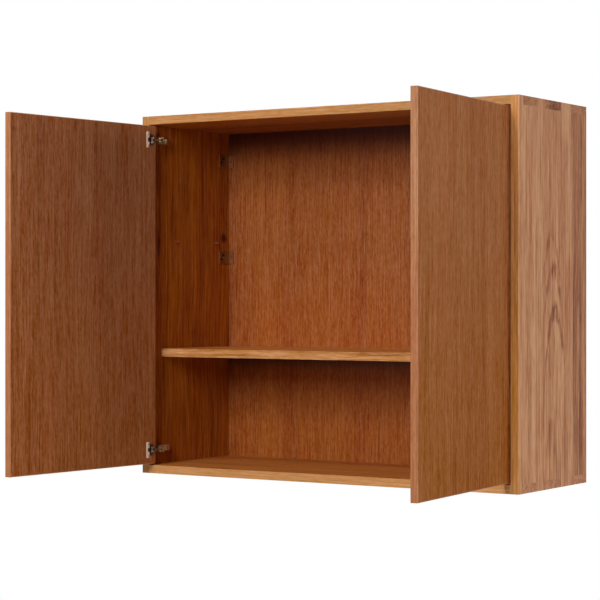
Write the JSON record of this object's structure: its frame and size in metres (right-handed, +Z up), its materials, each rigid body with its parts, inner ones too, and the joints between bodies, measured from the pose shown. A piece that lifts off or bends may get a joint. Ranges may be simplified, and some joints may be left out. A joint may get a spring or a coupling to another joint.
{
  "type": "wall cabinet",
  "caption": "Open-fronted wooden wall cabinet with box-jointed case, let-in back, loose shelf on pins and a pair of inset doors on concealed hinges.",
  "frame": {"origin": "middle of the face that hangs against the wall, at half the case's height", "axes": "+X to the viewer's right, +Y into the wall, +Z up; the doors face -Y"},
  "size_m": [1.0408, 0.8123, 0.85],
  "materials": {
    "solid_wood": "oiled solid wood",
    "veneer": "oiled straight-grained veneer",
    "edging": "oiled solid wood edging",
    "nickel": "nickel plated",
    "bracket_steel": "zinc plated",
    "screw_steel": "zinc plated"
  },
  "bodies": {
    "case": {"side_panel_left": "solid_wood", "side_panel_right": "solid_wood", "top_panel": "solid_wood", "bottom_panel": "solid_wood", "back_panel": "veneer", "shelf": "solid_wood", "shelf_pins": "nickel", "spare_shelf_pins": "nickel", "back_panel_screws": "screw_steel", "wall_bracket_left_upper": "bracket_steel", "wall_bracket_left_lower": "bracket_steel", "wall_bracket_right_upper": "bracket_steel", "wall_bracket_right_lower": "bracket_steel", "bracket_screws": "screw_steel", "mounting_plate_left_upper": "nickel", "mounting_plate_left_lower": "nickel", "mounting_plate_right_upper": "nickel", "mounting_plate_right_lower": "nickel", "plate_screws": "screw_steel", "hinge_arm_left_upper": "nickel", "hinge_arm_left_lower": "nickel", "hinge_arm_right_upper": "nickel", "hinge_arm_right_lower": "nickel", "arm_screws": "screw_steel", "arm_pivot_pins": "nickel"},
    "left_door": {"left_door_board": "veneer", "left_door_edging": "edging", "hinge_cup_left_upper": "nickel", "hinge_cup_left_lower": "nickel", "left_cup_screws": "screw_steel", "left_cup_pins": "nickel"},
    "right_door": {"right_door_board": "veneer", "right_door_edging": "edging", "hinge_cup_right_upper": "nickel", "hinge_cup_right_lower": "nickel", "right_cup_screws": "screw_steel", "right_cup_pins": "nickel"},
    "left_links": {"hinge_link_left_upper": "nickel", "hinge_link_left_lower": "nickel"},
    "right_links": {"hinge_link_right_upper": "nickel", "hinge_link_right_lower": "nickel"}
  },
  "joints": [
    {"name": "left_door_hinge", "type": "hinge", "parent": "case", "child": "left_door", "pos_m": [-0.4765, -0.3375, 0], "axis": [0, 0, 1], "range_deg": [0, 95]},
    {"name": "left_link_pivot", "type": "hinge", "parent": "case", "child": "left_links", "pos_m": [-0.4535, -0.3318, 0], "axis": [0, 0, 1], "range_deg": [-45.2, 0]},
    {"name": "right_door_hinge", "type": "hinge", "parent": "case", "child": "right_door", "pos_m": [0.4765, -0.3375, 0], "axis": [0, 0, -1], "range_deg": [0, 95]},
    {"name": "right_link_pivot", "type": "hinge", "parent": "case", "child": "right_links", "pos_m": [0.4535, -0.3318, 0], "axis": [0, 0, -1], "range_deg": [-45.2, 0]}
  ],
  "couplings": [
    {"joint": "left_link_pivot", "follows": "left_door_hinge", "ratio": -0.475},
    {"joint": "right_link_pivot", "follows": "right_door_hinge", "ratio": -0.475}
  ]
}
